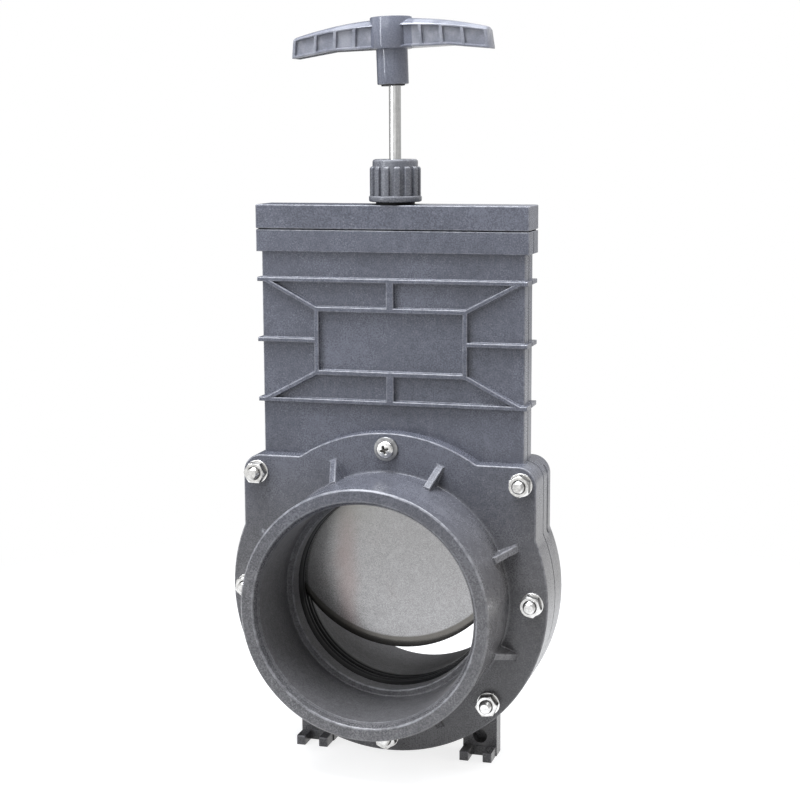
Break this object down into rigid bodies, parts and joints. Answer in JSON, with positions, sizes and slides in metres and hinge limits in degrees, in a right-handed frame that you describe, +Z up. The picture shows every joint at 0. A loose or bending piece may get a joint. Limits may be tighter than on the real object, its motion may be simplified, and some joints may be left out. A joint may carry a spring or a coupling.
{
  "type": "slide valve",
  "caption": "Grey plastic slide valve: a steel gate in a flat bonnet, lifted by a rod with a T-handle, closes the pipe between two socket flanges; it stands on two small feet.",
  "frame": {"origin": "on the floor under the middle of the gate, midway between the two feet and between the two socket mouths", "axes": "+X to the right seen from the front, +Y to the back along the pipe, +Z up along the rod"},
  "size_m": [0.1678, 0.1254, 0.3802],
  "materials": {
    "grey_pvc": "moulded blue-grey rigid PVC, satin, faintly mottled, paler along worn edges",
    "handle_plastic": "moulded blue-grey plastic, satin",
    "black_rubber": "black moulded rubber, slightly glossy",
    "packing_rubber": "dense black packing rubber",
    "black_plastic": "black moulded plastic",
    "satin_stainless": "stainless sheet, cold rolled, satin with soft streaks",
    "bright_stainless": "drawn stainless rod, bright",
    "zinc_steel": "bright zinc-plated or stainless fasteners",
    "black_steel": "blackened steel nut"
  },
  "bodies": {
    "housing": {"front_body_half": "grey_pvc", "rear_body_half": "grey_pvc", "top_cap": "grey_pvc", "cap_gasket": "black_rubber", "front_socket_flange": "grey_pvc", "rear_socket_flange": "grey_pvc", "front_gate_seal": "black_rubber", "rear_gate_seal": "black_rubber", "gland_packing": "packing_rubber", "neck_ring": "black_rubber", "flange_bolts": "zinc_steel", "flange_nuts": "zinc_steel", "front_washers": "zinc_steel", "rear_washers": "zinc_steel", "front_top_screw": "zinc_steel", "rear_top_screw": "zinc_steel", "front_top_washer": "zinc_steel", "rear_top_washer": "zinc_steel"},
    "gate": {"gate_plate": "satin_stainless", "rod_block": "satin_stainless", "block_rivets": "zinc_steel", "lift_rod": "bright_stainless", "rod_pin": "zinc_steel", "handle": "handle_plastic", "handle_lock_nut": "black_steel"},
    "gland_follower": {"gland_follower": "black_plastic"},
    "gland_nut": {"gland_nut": "handle_plastic"}
  },
  "joints": [
    {"name": "gate_slide", "type": "slide", "parent": "housing", "child": "gate", "axis": [0, 0, 1], "range_m": [-0.028, 0.084]},
    {"name": "follower_slide", "type": "slide", "parent": "housing", "child": "gland_follower", "axis": [0, 0, 1], "range_m": [0, 0.003]},
    {"name": "nut_turn", "type": "hinge", "parent": "gland_follower", "child": "gland_nut", "pos_m": [0, 0, 0.2885], "axis": [0, 0, 1], "range_deg": [0, 720]}
  ],
  "couplings": [
    {"joint": "follower_slide", "follows": "nut_turn", "m_per_rad": 0.00023873}
  ]
}
